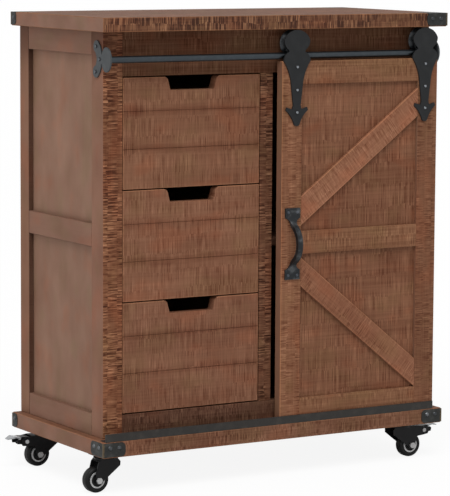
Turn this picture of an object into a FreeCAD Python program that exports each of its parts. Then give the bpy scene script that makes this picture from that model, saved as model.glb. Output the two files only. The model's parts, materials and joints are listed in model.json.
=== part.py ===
"""A sideboard on casters: three drawers, and a barn door that rolls along a round rail.

Sizes are in millimetres. X runs to the right, Y to the back and Z up. The floor under the
middle of the whole object is the origin.
"""

import FreeCAD, Part
import Sketcher
import math
import os
import re

# Driving dimensions. Heights are above the floor, X and Y from the middle of the two slabs.
SIZES = {
    "slab_width": 690,
    "slab_depth": 336,
    "overall_height": 800,
    "top_thickness": 24,
    "base_height": 65,
    "base_thickness": 27,
    "side_overhang": 16,
    "front_overhang": 30,
    "arris": 0.8,
    "post_width": 36.5,
    "front_post_depth": 41,
    "rear_post_depth": 33.5,
    "side_rail_thickness": 18,
    "side_rail_height": 40,
    "side_middle_bottom": 414,
    "side_bottom_rail_height": 38,
    "side_panel_thickness": 6,
    "side_panel_recess": 9,
    "tongue": 6,
    "tongue_play": 1,
    "face_thickness": 18,
    "face_top_rail_height": 75,
    "divider_left": -22,
    "divider_width": 24.5,
    "partition_thickness": 18,
    "back_thickness": 5,
    "back_rebate": 10,
    "shelf_top": 413,
    "shelf_thickness": 15,
    "cleat_size": 12,
    "drawer_gap": 2.2,
    "drawer_recess": 1,
    "drawer_front_thickness": 19,
    "drawer_depth": 262,
    "drawer_board": 12,
    "drawer_side_gap": 1.5,
    "drawer_side_height": 150,
    "drawer_side_lift": 8,
    "drawer_bottom_thickness": 4,
    "drawer_bottom_lift": 10,
    "drawer_bottom_groove": 5,
    "runner_width": 6.5,
    "runner_height": 12,
    "runner_lift": 70,
    "runner_groove_depth": 6,
    "runner_play": 0.5,
    "seam_first": 57,
    "seam_pitch": 63.5,
    "seam_width": 2.4,
    "seam_depth": 1.2,
    "finger_width": 85,
    "finger_depth": 22.5,
    "finger_slope": 4,
    "finger_round": 7.5,
    "door_left": 5,
    "door_right": 329,
    "door_bottom": 94,
    "door_top": 721,
    "door_gap": 9,
    "door_thickness": 17.5,
    "door_frame_width": 40.5,
    "door_middle_bottom": 387,
    "door_panel_thickness": 9,
    "brace_thickness": 6.5,
    "brace_width": 50,
    "upper_brace_low": 437,
    "upper_brace_high": 619,
    "lower_brace_low": 135,
    "lower_brace_high": 331,
    "hanger_inset": 28,
    "hanger_thickness": 3,
    "roller_height": 751.5,
    "rail_height": 730,
    "rail_radius": 6,
    "rail_reach": 17,
    "roller_radius": 23,
    "roller_width": 16,
    "roller_play": 0.3,
    "groove_floor_half": 4.5,
    "roller_pin_radius": 4,
    "roller_washer": 0.5,
    "roller_cap_radius": 7,
    "roller_cap_height": 1.8,
    "running_play": 0.05,
    "bolt_head_radius": 3.4,
    "bolt_head_height": 1.8,
    "bracket_thickness": 2.5,
    "bracket_lobe_radius": 10,
    "handle_place": 27,
    "handle_middle": 406,
    "handle_plate_width": 30,
    "handle_grip_width": 10,
    "handle_reach": 28.5,
    "guide_thickness": 2.6,
    "guide_height": 13.5,
    "guide_foot": 16,
    "guide_foot_thickness": 1.2,
    "guide_left": -340,
    "guide_right": 327,
    "iron_thickness": 1.2,
    "iron_arm": 42,
    "rear_iron_arm": 18,
    "iron_edge": 1.5,
    "iron_round": 8,
    "stud_radius": 4,
    "stud_height": 1.6,
    "stud_inset": 13,
    "stud_pitch": 17.5,
    "rear_stud_inset": 9,
    "stud_drop": 10,
    "plate_size": 46,
    "plate_thickness": 2.5,
    "plate_corner": 4,
    "raceway_radius": 17,
    "raceway_height": 2.5,
    "kingpin_radius": 4,
    "kingpin_head_radius": 6.5,
    "kingpin_head_height": 2,
    "fork_top": 59.5,
    "fork_crown_radius": 21,
    "fork_crown_height": 3,
    "fork_play": 0.4,
    "fork_web_bottom": 53.5,
    "fork_half_width": 14,
    "fork_leg_thickness": 2,
    "axle_radius": 3,
    "axle_boss_radius": 6.5,
    "axle_nut_radius": 5.5,
    "axle_nut_height": 3.5,
    "axle_height": 22,
    "trail": 20,
    "wheel_radius": 22,
    "wheel_width": 18,
    "tyre_bevel": 2,
    "hub_half_width": 11.6,
    "hub_radius": 7,
    "pedal_pivot_trail": 46,
    "pedal_pivot_height": 47.5,
    "pedal_pin_radius": 2,
    "pedal_pin_head_radius": 3.6,
    "pedal_pin_head_height": 1.4,
    "pedal_half_width": 11,
    "pedal_sheet": 2,
    "pedal_reach": 80,
    "pedal_tip_half": 4,
    "pedal_tip_length": 12,
    "front_caster_line": -125,
    "rear_caster_line": 125,
    "front_left_swivel": -317,
    "front_right_swivel": 284,
    "rear_left_swivel": -300,
    "rear_right_swivel": 297,
}

# Places worked out from the driving dimensions, each a formula in their names.
PLACES = {
    "slab_half": "slab_width / 2",
    "slab_front": "-slab_depth / 2",
    "slab_back": "slab_depth / 2",
    "body_half": "slab_half - side_overhang",
    "body_front": "slab_front + front_overhang",
    "body_bottom": "base_height + base_thickness",
    "body_top": "overall_height - top_thickness",
    "opening_half": "body_half - post_width",
    "front_post_back": "body_front + front_post_depth",
    "rear_post_front": "slab_back - rear_post_depth",
    "panel_out": "body_half - side_panel_recess",
    "panel_in": "panel_out - side_panel_thickness",
    "side_rail_in": "body_half - side_rail_thickness",
    "side_bottom_rail_top": "body_bottom + side_bottom_rail_height",
    "side_top_rail_bottom": "body_top - side_rail_height",
    "side_middle_top": "side_middle_bottom + side_rail_height - 0.5",
    "face_back": "body_front + face_thickness",
    "face_top_rail_bottom": "body_top - face_top_rail_height",
    "divider_right": "divider_left + divider_width",
    "partition_right": "divider_left + partition_thickness",
    "back_front": "slab_back - back_thickness",
    "drawer_middle": "(divider_left - opening_half) / 2",
    "drawer_front_half": "(divider_left + opening_half) / 2 - drawer_gap / 2 - 0.4",
    "drawer_pitch": "(face_top_rail_bottom - side_bottom_rail_top - drawer_gap) / 3",
    "drawer_front_height": "drawer_pitch - drawer_gap",
    "drawer_front_face": "body_front + drawer_recess",
    "drawer_front_back": "drawer_front_face + drawer_front_thickness",
    "drawer_box_back": "drawer_front_back + drawer_depth",
    "drawer_box_half": "(divider_left + opening_half) / 2 - drawer_side_gap",
    "drawer_inner_half": "drawer_box_half - drawer_board",
    "door_back": "body_front - door_gap",
    "door_front": "door_back - door_thickness",
    "door_panel_front": "door_front + brace_thickness",
    "door_panel_back": "door_panel_front + door_panel_thickness",
    "door_inner_left": "door_left + door_frame_width",
    "door_inner_right": "door_right - door_frame_width",
    "door_top_rail_bottom": "door_top - 40",
    "door_middle_top": "door_middle_bottom + 40",
    "door_bottom_rail_top": "door_bottom + door_frame_width",
    "left_hanger_place": "door_left + hanger_inset",
    "right_hanger_place": "door_right - hanger_inset",
    "hanger_front": "door_front - hanger_thickness",
    "rail_line": "body_front - rail_reach",
    "groove_floor_radius": "roller_height - rail_height - rail_radius - roller_play",
    "handle_front": "door_front - handle_reach",
    "plate_bottom": "base_height - plate_thickness",
    "raceway_bottom": "plate_bottom - raceway_height",
    "kingpin_head_top": "fork_web_bottom - 0.5",
    "centre_shift_x": "-(front_right_swivel + rear_left_swivel) / 2",
    "centre_shift_y": "-(handle_front + slab_back + iron_thickness + stud_height) / 2",
}

# How far the sides of a domed head lean in, in degrees, and how many sides the head has.
HEAD_SLOPE = -35
HEAD_SIDES = 12

# Right half of a hanger, from its point up: half width, distance below the roller's axle, and
# the radius and bulge of an arc that starts there.
HANGER_HALF = [
    (5.5, 139),
    (7, 134.5, 50, 1),
    (22.5, 114.5),
    (20.5, 109.5),
    (9.5, 113),
    (7.4, 106.5),
    (12.5, 63.5, 85, 1),
    (27, 30, 17, -1),
    (16, 14.5),
    (16.8, 11, 19, -1),
    (26, -5.5, 28, -1),
]
HANGER_TIP_RADIUS = 6.5
HANGER_BOLT_DROPS = [118.5, 80, 40.5]

# The rail bracket, measured back from the rail's axis and up from it.
BRACKET_BOW = [
    (28.8, 26.7), (46, 16.8, 24, -1), (35.7, 0, 20, -1),
    (48.2, -17), (31.4, -27.5, 30, 1), (20.5, 0, 26, 1),
]
BRACKET_OVAL = [(12.1, 17.5, 13, -1), (-4.9, 17.5, 23.2, -1), (-4.9, -17.5, 13, -1), (12.1, -17.5, 23.2, -1)]
BRACKET_NECK = [(8, -7), (30, -7), (30, 8), (8, 8)]
BRACKET_LOBES = [(37, 21), (39, -21)]
BRACKET_WAIST_SCREW = (25, 0)

# The pull from the side: distance out from the door, height above its middle, and any arc.
PULL_SIDE = [
    (0, 62), (2.5, 62), (2.5, 47.5, 17, 1),
    (12, 32, 39.28, -1),
    (12, -32, 17, 1), (2.5, -47.5), (2.5, -62), (0, -62), (0, -43, 22, -1),
    (8.5, -26, 32.5, 1),
    (8.5, 26, 22, -1), (0, 43),
]
# Where the pull's flare starts and ends above its middle, and the radius of its sweep.
FLARE_START = 31
FLARE_END = 45
FLARE_RADIUS = 13

# A fork leg from the crown's front down to the axle, and its two kinds of tail back up to the
# crown: distance behind the kingpin and height above the floor.
LEG_FRONT = [(-17, 56.5), (-21, 52), (-20.5, 45), (16, 16.9, "axle_boss_radius", -1), (26.5, 22)]
PLAIN_TAIL = [(25, 36), (21, 52), (17, 56.5)]
BRAKED_TAIL = [(30, 37.5), (44, 39), (54, 40.5), (56, 44), (56, 50), (51, 54), (33, 56.5)]
BRAKED_WEB_END = 35
FORK_END = 70

# The pedal from the side, measured back and up from its pin: the ears, and the thin leaf on top.
PEDAL_EARS = [(-5, -2), (7, -4.5), (17, -3.5), (18, 2.5), (11, 7.4), (-6, 7.4)]
PEDAL_LEAF = [(-6, 5.8), (12, 5.8), (20, 7.6), (33, 4.6), (34, 6.2), (22, 10, 40, 1), (8, 8.4), (-6, 7.4)]

document = FreeCAD.newDocument("Sideboard")
cut_checks = []


def formula(text):
    """Put the sheet's name before every named value in the text."""

    def spelled(match):
        word = match.group(0)
        if word in SIZES:
            return "Sizes." + word
        if word in PLACES:
            return "Places." + word
        return word

    return re.sub(r"[a-z][a-z_]+", spelled, str(text))


def value(text):
    """The number that a formula comes to."""
    return float(places_sheet.evalExpression(formula(text)))


def fill_sheet(name, rows, as_formula):
    """A spreadsheet with a name in column A and its value in column B."""
    sheet = document.addObject("Spreadsheet::Sheet", name)
    for number, (alias, content) in enumerate(rows.items(), start=1):
        sheet.set(f"A{number}", alias.replace("_", " "))
        sheet.setAlias(f"B{number}", alias)
        sheet.set(f"B{number}", "=" + formula(content) if as_formula else str(content))
    document.recompute()
    return sheet


def bind(thing, path, text):
    """Tie one property of a document object to a formula."""
    thing.setExpression(path, formula(text))


def new_body(label, x="0", y="0", z="0", turn=None):
    """An empty body whose place is measured from the middle of the slabs."""
    body = document.addObject("PartDesign::Body", label)
    body.Label = label
    bind(body, "Placement.Base.x", f"centre_shift_x + {x}")
    bind(body, "Placement.Base.y", f"centre_shift_y + {y}")
    bind(body, "Placement.Base.z", z)
    if turn:
        body.Placement.Rotation = FreeCAD.Rotation(FreeCAD.Vector(0, 0, 1), turn)
    return body


def arc_middle(start, end, radius, bulge):
    """The middle point of the shorter arc from start to end; bulge 1 is left of the way along."""
    along = end - start
    half = along.Length / 2
    rise = radius - math.sqrt(radius * radius - half * half)
    left = FreeCAD.Vector(-along.y, along.x, 0).normalize()
    return (start + end) * 0.5 + left * (rise * bulge)


def draw_outline(sketch, outline):
    """A closed outline. Each corner is (x, y), or (x, y, radius, bulge) where an arc leaves it."""
    corners = [FreeCAD.Vector(value(corner[0]), value(corner[1]), 0) for corner in outline]
    count = len(outline)
    ends = []
    for index, corner in enumerate(outline):
        start, end = corners[index], corners[(index + 1) % count]
        if len(corner) == 2:
            edge = Part.LineSegment(start, end)
            order = (1, 2)
        elif corner[3] > 0:
            edge = Part.Arc(end, arc_middle(start, end, value(corner[2]), 1), start)
            order = (2, 1)
        else:
            edge = Part.Arc(start, arc_middle(start, end, value(corner[2]), -1), end)
            order = (1, 2)
        ends.append((sketch.addGeometry(edge, False), *order))
    rules = []
    bound = []
    for index, corner in enumerate(outline):
        number, first, last = ends[index]
        following, following_first, _ = ends[(index + 1) % count]
        rules.append(Sketcher.Constraint("Coincident", number, last, following, following_first))
        for kind, text in (("DistanceX", corner[0]), ("DistanceY", corner[1])):
            bound.append((len(rules), text))
            rules.append(Sketcher.Constraint(kind, -1, 1, number, first, value(text)))
        if len(corner) == 4:
            bound.append((len(rules), corner[2]))
            rules.append(Sketcher.Constraint("Radius", number, value(corner[2])))
    bind_rules(sketch, rules, bound)


def draw_circle(sketch, x, y, radius):
    """A circle tied to its centre and radius."""
    centre = FreeCAD.Vector(value(x), value(y), 0)
    circle = Part.Circle(centre, FreeCAD.Vector(0, 0, 1), value(radius))
    number = sketch.addGeometry(circle, False)
    rules = [
        Sketcher.Constraint("DistanceX", -1, 1, number, 3, value(x)),
        Sketcher.Constraint("DistanceY", -1, 1, number, 3, value(y)),
        Sketcher.Constraint("Radius", number, value(radius)),
    ]
    bind_rules(sketch, rules, [(0, x), (1, y), (2, radius)])


def bind_rules(sketch, rules, bound):
    """Add the constraints and tie the listed ones to their formulas."""
    first = len(sketch.Constraints)
    sketch.addConstraint(rules)
    for index, text in bound:
        bind(sketch, f"Constraints[{first + index}]", text)


def new_sketch(body, plane, offset, shapes):
    """A sketch on one of the body's own planes, moved along that plane's axis to offset."""
    sketch = body.newObject("Sketcher::SketchObject", body.Label + "_sketch")
    support = [feature for feature in body.Origin.OriginFeatures if feature.Role == plane][0]
    sketch.AttachmentSupport = [(support, "")]
    sketch.MapMode = "FlatFace"
    sign = "-" if plane == "XZ_Plane" else ""
    bind(sketch, "AttachmentOffset.Base.z", f"{sign}({offset})")
    for shape in shapes:
        if isinstance(shape, tuple):
            draw_circle(sketch, *shape)
        else:
            draw_outline(sketch, shape)
    return sketch


def add(body, plane, shapes, low, high, taper=0):
    """Pad the closed shapes from low to high along the plane's axis; a circle is (x, y, radius)."""
    if value(low) > value(high):
        low, high = high, low
    start = high if plane == "XZ_Plane" else low
    sketch = new_sketch(body, plane, start, shapes)
    pad = body.newObject("PartDesign::Pad", body.Label + "_pad")
    pad.Profile = sketch
    bind(pad, "Length", f"({high}) - ({low})")
    pad.TaperAngle = taper
    return pad


def cut(body, plane, shapes, low, high):
    """Pocket the closed shapes from low to high along the plane's axis."""
    if value(low) > value(high):
        low, high = high, low
    start = low if plane == "XZ_Plane" else high
    sketch = new_sketch(body, plane, start, shapes)
    pocket = body.newObject("PartDesign::Pocket", body.Label + "_pocket")
    pocket.Profile = sketch
    bind(pocket, "Length", f"({high}) - ({low})")
    cut_checks.append(pocket)
    return pocket


def revolve(body, outlines):
    """Turn profiles of (y, radius) about the body's own Y axis."""
    sketch = new_sketch(body, "YZ_Plane", "0", outlines)
    turned = body.newObject("PartDesign::Revolution", body.Label + "_revolution")
    turned.Profile = sketch
    turned.ReferenceAxis = (sketch, ["H_Axis"])
    turned.Angle = 360
    return turned


def soften(body, feature, size="arris"):
    """Take the sharp arris off every edge."""
    document.recompute()
    chamfer = body.newObject("PartDesign::Chamfer", body.Label + "_chamfer")
    chamfer.Base = (feature, ["Edge1"])
    chamfer.UseAllEdges = True
    bind(chamfer, "Size", size)
    return chamfer


def round_edges(body, feature, radius, wanted):
    """Fillet the edges that the test picks out."""
    document.recompute()
    names = [f"Edge{n}" for n, edge in enumerate(feature.Shape.Edges, start=1) if wanted(edge)]
    fillet = body.newObject("PartDesign::Fillet", body.Label + "_fillet")
    fillet.Base = (feature, names)
    bind(fillet, "Radius", radius)
    return fillet


def runs_along(direction):
    """A test for straight edges that lie along an axis."""
    vector = FreeCAD.Vector(*direction)

    def wanted(edge):
        if edge.Curve.TypeId != "Part::GeomLine":
            return False
        return abs(abs(edge.tangentAt(edge.FirstParameter).dot(vector)) - 1) < 1e-6

    return wanted


def is_as_long_as(size):
    """A test for straight edges of one length."""

    def wanted(edge):
        return edge.Curve.TypeId == "Part::GeomLine" and abs(edge.Length - value(size)) < 1e-6

    return wanted


def rectangle(x_low, x_high, y_low, y_high):
    """Four corners."""
    return [(x_low, y_low), (x_high, y_low), (x_high, y_high), (x_low, y_high)]


def moved(points, x, y):
    """An outline measured from the point (x, y); what follows the two places of a corner is kept."""
    return [(f"{x} + {point[0]}", f"{y} + {point[1]}", *point[2:]) for point in points]


def regular(x, y, radius, sides):
    """A regular polygon whose corners lie on the circle of that radius."""
    angles = [360 * number / sides for number in range(sides)]
    return [(f"{x} + {radius} * cos({angle})", f"{y} + {radius} * sin({angle})") for angle in angles]


def board(label, x_range, y_range, z_range):
    """A planed board with a light arris."""
    body = new_body(label)
    pad = add(body, "XY_Plane", [rectangle(*x_range, *y_range)], *z_range)
    soften(body, pad)
    return body


def group(label, members):
    """Separate solids that share one node."""
    compound = document.addObject("Part::Compound", label)
    compound.Label = label
    compound.Links = members
    return compound


def make_slab(label, z_low, z_high, capped=()):
    """The top or the base: one broad board, let in where an iron's cap lies flush on a corner."""
    body = new_body(label)
    plan = rectangle("-slab_half", "slab_half", "slab_front", "slab_back")
    pad = add(body, "XY_Plane", [plan], z_low, z_high)
    soften(body, pad)
    if capped:
        pockets = [iron_cap(corner) for corner in capped]
        cut(body, "XY_Plane", pockets, f"{z_high} - iron_thickness", f"{z_high} + 1")
    return body


def iron_arms(y):
    """Lengths of an iron's two arms; on a rear one (y sign 1) the arm along the side is short."""
    return "iron_arm", "rear_iron_arm" if y > 0 else "iron_arm"


def iron_cap(corner):
    """The flat outline of a corner iron seen from above, round at its inner corner."""
    x, y = corner
    arm_x, arm_y = iron_arms(y)
    inner_x, outer_x = f"{x} * (slab_half - {arm_x})", f"{x} * (slab_half + iron_thickness)"
    inner_y, outer_y = f"{y} * (slab_back - {arm_y})", f"{y} * (slab_back + iron_thickness)"
    return [
        (outer_x, outer_y),
        (inner_x, outer_y),
        (inner_x, f"{inner_y} + {y} * iron_round", "iron_round", -x * y),
        (f"{inner_x} + {x} * iron_round", inner_y),
        (outer_x, inner_y),
    ]


def make_post(label, sign, front):
    """A corner post, grooved for the side panels; a rear one is rebated for the back panel."""
    outer, inner = f"{sign} * body_half", f"{sign} * opening_half"
    groove = [f"{sign} * panel_out", f"{sign} * panel_in"]
    if front:
        face, depth = "front_post_back", "-tongue"
        outline = [(outer, "body_front"), (inner, "body_front")]
    else:
        face, depth = "rear_post_front", "tongue"
        rebate = f"{sign} * (opening_half + back_rebate)"
        outline = [(outer, "slab_back"), (rebate, "slab_back"), (rebate, "back_front"), (inner, "back_front")]
    outline += [(inner, face), (groove[1], face), (groove[1], f"{face} + {depth}")]
    outline += [(groove[0], f"{face} + {depth}"), (groove[0], face), (outer, face)]
    body = new_body(label)
    pad = add(body, "XY_Plane", [outline], "body_bottom", "body_top")
    soften(body, pad)
    return body


def grooved_rail(sign, z_low, z_high, groove_low, groove_high):
    """A side rail's section, with a groove in the edges that take a panel."""
    outer, inner = f"{sign} * body_half", f"{sign} * side_rail_in"
    groove = [f"{sign} * panel_in", f"{sign} * panel_out"]
    outline = [(outer, z_low)]
    if groove_low:
        outline += [(groove[1], z_low), (groove[1], f"{z_low} + tongue")]
        outline += [(groove[0], f"{z_low} + tongue"), (groove[0], z_low)]
    outline += [(inner, z_low), (inner, z_high)]
    if groove_high:
        outline += [(groove[0], z_high), (groove[0], f"{z_high} - tongue")]
        outline += [(groove[1], f"{z_high} - tongue"), (groove[1], z_high)]
    return outline + [(outer, z_high)]


def make_side(name, sign):
    """Three rails between the posts, and two thin panels that float in their grooves."""
    rails = new_body(name + "_side_rails")
    sections = [
        grooved_rail(sign, "body_bottom", "side_bottom_rail_top", False, True),
        grooved_rail(sign, "side_middle_bottom", "side_middle_top", True, True),
        grooved_rail(sign, "side_top_rail_bottom", "body_top", True, False),
    ]
    pad = add(rails, "XZ_Plane", sections, "front_post_back", "rear_post_front")
    soften(rails, pad)
    panels = new_body(name + "_side_panels")
    reach = "(tongue - tongue_play)"
    y_range = [f"front_post_back - {reach}", f"rear_post_front + {reach}"]
    heights = [("side_bottom_rail_top", "side_middle_bottom"), ("side_middle_top", "side_top_rail_bottom")]
    boards = [rectangle(*y_range, f"{low} - {reach}", f"{high} + {reach}") for low, high in heights]
    add(panels, "YZ_Plane", boards, f"{sign} * panel_in", f"{sign} * panel_out")
    return [rails, panels]


def make_face():
    """The boards of the front, and the partition that stands behind the divider."""
    inside = ["-opening_half", "opening_half"]
    face = ["body_front", "face_back"]
    rail_top = "side_bottom_rail_top"
    return [
        board("front_top_rail", inside, face, ["face_top_rail_bottom", "body_top"]),
        board("front_bottom_rail", inside, face, ["body_bottom", rail_top]),
        board("front_divider", ["divider_left", "divider_right"], face, [rail_top, "face_top_rail_bottom"]),
        board("partition", ["divider_left", "partition_right"], ["face_back", "back_front"],
              ["body_bottom", "body_top"]),
        board("back_panel", ["-opening_half - back_rebate", "opening_half + back_rebate"],
              ["back_front", "slab_back"], ["body_bottom", "body_top"]),
        board("shelf", ["partition_right + 0.5", "opening_half - 0.5"], ["face_back + 4", "back_front - 1"],
              ["shelf_top - shelf_thickness", "shelf_top"]),
    ]


def drawer_bottom_edge(level):
    """Height of the lower edge of a drawer front; level 0 is the lowest."""
    return f"(side_bottom_rail_top + drawer_gap + {level} * drawer_pitch)"


def make_runners():
    """Six strips that the grooved drawer sides run on, and two cleats under the shelf."""
    body = new_body("drawer_runners")
    sections = []
    for level in range(3):
        low = f"{drawer_bottom_edge(level)} + runner_lift"
        high = f"{low} + runner_height"
        sections.append(rectangle("-opening_half", "-opening_half + runner_width", low, high))
        sections.append(rectangle("divider_left - runner_width", "divider_left", low, high))
    cleat = ["shelf_top - shelf_thickness - cleat_size", "shelf_top - shelf_thickness"]
    sections.append(rectangle("partition_right", "partition_right + cleat_size", *cleat))
    sections.append(rectangle("opening_half - cleat_size", "opening_half", *cleat))
    pad = add(body, "XZ_Plane", sections, "drawer_front_back + 2", "back_front - 8")
    soften(body, pad)
    return body


def make_drawer(name, level):
    """Front with a finger cut-out, two grooved sides, a back and a thin bottom."""
    low = drawer_bottom_edge(level)
    return [
        make_drawer_front(name + "_drawer_front", low),
        make_drawer_sides(name + "_drawer_sides", low),
        make_drawer_back(name + "_drawer_back", low),
        make_drawer_bottom(name + "_drawer_bottom", low),
    ]


def make_drawer_front(label, low):
    """Three planks edge to edge; the cut-out in the top edge is the grip."""
    middle, high = "drawer_middle", f"{low} + drawer_front_height"
    half, slope, turn = "finger_width / 2", "finger_slope", "finger_round"
    outline = [
        (f"{middle} - drawer_front_half", low),
        (f"{middle} + drawer_front_half", low),
        (f"{middle} + drawer_front_half", high),
        (f"{middle} + {half} + {slope} + {turn}", high, turn + " * 1.15", -1),
        (f"{middle} + {half} + {slope}", f"{high} - {turn}"),
        (f"{middle} + {half}", f"{high} - finger_depth"),
        (f"{middle} - {half}", f"{high} - finger_depth"),
        (f"{middle} - {half} - {slope}", f"{high} - {turn}", turn + " * 1.15", -1),
        (f"{middle} - {half} - {slope} - {turn}", high),
        (f"{middle} - drawer_front_half", high),
    ]
    body = new_body(label)
    pad = add(body, "XZ_Plane", [outline], "drawer_front_face", "drawer_front_back")
    soften(body, pad)
    face, deep = "drawer_front_face", "drawer_front_face + seam_depth"
    seams = []
    for number in range(2):
        seam = f"{high} - seam_first - {number} * seam_pitch"
        seams.append([(face, f"{seam} - seam_width / 2"), (deep, seam), (face, f"{seam} + seam_width / 2")])
    cut(body, "YZ_Plane", seams, f"{middle} - drawer_front_half", f"{middle} + drawer_front_half")
    return body


def make_drawer_sides(label, low):
    """Each side has a wide groove outside for its runner and a narrow one inside for the bottom."""
    sections = []
    bottom = f"{low} + drawer_side_lift"
    top = f"{bottom} + drawer_side_height"
    runner_low = f"{low} + runner_lift - runner_play"
    runner_high = f"{low} + runner_lift + runner_height + runner_play"
    panel_low = f"{bottom} + drawer_bottom_lift"
    panel_high = f"{panel_low} + drawer_bottom_thickness"
    for sign in ("-1", "1"):
        outer = f"drawer_middle + {sign} * drawer_box_half"
        groove = f"drawer_middle + {sign} * (drawer_box_half - runner_groove_depth)"
        inner = f"drawer_middle + {sign} * drawer_inner_half"
        slot = f"drawer_middle + {sign} * (drawer_inner_half + drawer_bottom_groove)"
        sections.append([
            (outer, bottom), (inner, bottom), (inner, panel_low), (slot, panel_low),
            (slot, panel_high), (inner, panel_high), (inner, top), (outer, top),
            (outer, runner_high), (groove, runner_high), (groove, runner_low), (outer, runner_low),
        ])
    body = new_body(label)
    add(body, "XZ_Plane", sections, "drawer_front_back", "drawer_box_back")
    return body


def make_drawer_back(label, low):
    """The back stands on the bottom, between the sides."""
    bottom = f"{low} + drawer_side_lift + drawer_bottom_lift + drawer_bottom_thickness"
    x_range = ["drawer_middle - drawer_inner_half", "drawer_middle + drawer_inner_half"]
    y_range = ["drawer_box_back - drawer_board", "drawer_box_back"]
    return board(label, x_range, y_range, [bottom, f"{low} + drawer_side_height"])


def make_drawer_bottom(label, low):
    """A thin sheet in the side grooves."""
    bottom = f"{low} + drawer_side_lift + drawer_bottom_lift"
    half = "(drawer_inner_half + drawer_bottom_groove - tongue_play)"
    x_range = [f"drawer_middle - {half}", f"drawer_middle + {half}"]
    sheet = rectangle(*x_range, "drawer_front_back", "drawer_box_back")
    body = new_body(label)
    add(body, "XY_Plane", [sheet], bottom, f"{bottom} + drawer_bottom_thickness")
    return body


def make_stile(label, outer, inner, sign):
    """An upright of the door, grooved along its inner edge for the panels."""
    deep = f"{inner} - {sign} * tongue"
    outline = [
        (outer, "door_front"), (inner, "door_front"), (inner, "door_panel_front"), (deep, "door_panel_front"),
        (deep, "door_panel_back"), (inner, "door_panel_back"), (inner, "door_back"), (outer, "door_back"),
    ]
    body = new_body(label)
    pad = add(body, "XY_Plane", [outline], "door_bottom", "door_top")
    soften(body, pad)
    return body


def door_rail_section(z_low, z_high, groove_low, groove_high):
    """A door rail's section in Y and Z, grooved in the edges that take a panel."""
    outline = [("door_front", z_low)]
    if groove_low:
        outline += [("door_panel_front", z_low), ("door_panel_front", f"{z_low} + tongue")]
        outline += [("door_panel_back", f"{z_low} + tongue"), ("door_panel_back", z_low)]
    outline += [("door_back", z_low), ("door_back", z_high)]
    if groove_high:
        outline += [("door_panel_back", z_high), ("door_panel_back", f"{z_high} - tongue")]
        outline += [("door_panel_front", f"{z_high} - tongue"), ("door_panel_front", z_high)]
    return outline + [("door_front", z_high)]


def make_brace(label, left_low, right_low):
    """A slanting board planted on the panel, its ends cut upright against the stiles."""
    left, right = "door_inner_left", "door_inner_right"
    outline = [
        (left, left_low), (right, right_low),
        (right, f"{right_low} + brace_width"), (left, f"{left_low} + brace_width"),
    ]
    body = new_body(label)
    pad = add(body, "XZ_Plane", [outline], "door_front", "door_panel_front")
    soften(body, pad)
    return body


def make_door():
    """A framed door: two stiles, three rails, two panels in grooves and two braces."""
    rails = new_body("door_rails")
    sections = [
        door_rail_section("door_bottom", "door_bottom_rail_top", False, True),
        door_rail_section("door_middle_bottom", "door_middle_top", True, True),
        door_rail_section("door_top_rail_bottom", "door_top", True, False),
    ]
    pad = add(rails, "YZ_Plane", sections, "door_inner_left", "door_inner_right")
    soften(rails, pad)
    panels = new_body("door_panels")
    reach = "(tongue - tongue_play)"
    x_range = [f"door_inner_left - {reach}", f"door_inner_right + {reach}"]
    heights = [("door_bottom_rail_top", "door_middle_bottom"), ("door_middle_top", "door_top_rail_bottom")]
    boards = [rectangle(*x_range, f"{low} - {reach}", f"{high} + {reach}") for low, high in heights]
    add(panels, "XZ_Plane", boards, "door_panel_front", "door_panel_back")
    return [
        make_stile("door_left_stile", "door_left", "door_inner_left", "1"),
        make_stile("door_right_stile", "door_right", "door_inner_right", "-1"),
        rails,
        panels,
        make_brace("door_upper_brace", "upper_brace_low", "upper_brace_high"),
        make_brace("door_lower_brace", "lower_brace_high", "lower_brace_low"),
    ]


def mirrored(points, middle):
    """A whole outline from its right half, given as (half width, height) and any arc."""
    right = [(f"{middle} + {point[0]}", *point[1:]) for point in points]
    left = []
    for index in range(len(points) - 1, -1, -1):
        arc = points[index - 1][2:] if index > 0 else ()
        left.append((f"{middle} - {points[index][0]}", points[index][1], *arc))
    return right + left


def make_hanger(label, middle):
    """A flat strap forged to a spearhead: round head over the roller, waist, barbs and point."""
    half_outline = [(x, f"roller_height - ({drop})", *arc) for x, drop, *arc in HANGER_HALF]
    outline = mirrored(half_outline, middle)
    outline[-1] = (*outline[-1], HANGER_TIP_RADIUS, -1)
    body = new_body(label)
    add(body, "XZ_Plane", [outline], "hanger_front", "door_front")
    return body


def make_hanger_bolts():
    """Three domed bolt heads down each hanger, and the capped pin each roller turns on."""
    body = new_body("hanger_bolts")
    hangers = ("left_hanger_place", "right_hanger_place")
    heads = [(hanger, f"roller_height - {drop}") for hanger in hangers for drop in HANGER_BOLT_DROPS]
    add_heads(body, "XZ_Plane", heads, "bolt_head_radius", "hanger_front", "bolt_head_height", -1)
    pin_end = "rail_line + roller_width / 2 + roller_washer"
    pins = [(hanger, "roller_height", "roller_pin_radius") for hanger in hangers]
    caps = [regular(hanger, "roller_height", "roller_cap_radius", HEAD_SIDES) for hanger in hangers]
    add(body, "XZ_Plane", pins, "door_front", pin_end)
    add(body, "XZ_Plane", caps, pin_end, f"{pin_end} + roller_cap_height")
    return body


def make_roller(label, place):
    """A steel roller whose groove is wider than the round rail it runs on, with a flat floor."""
    right = [
        ("roller_width / 2", "roller_pin_radius + running_play"),
        ("roller_width / 2", "roller_radius"),
        ("groove_floor_half", "groove_floor_radius"),
    ]
    left = [(f"-({y})", radius) for y, radius in reversed(right)]
    body = new_body(label, place, "rail_line", "roller_height")
    revolve(body, [right + left])
    return body


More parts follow.
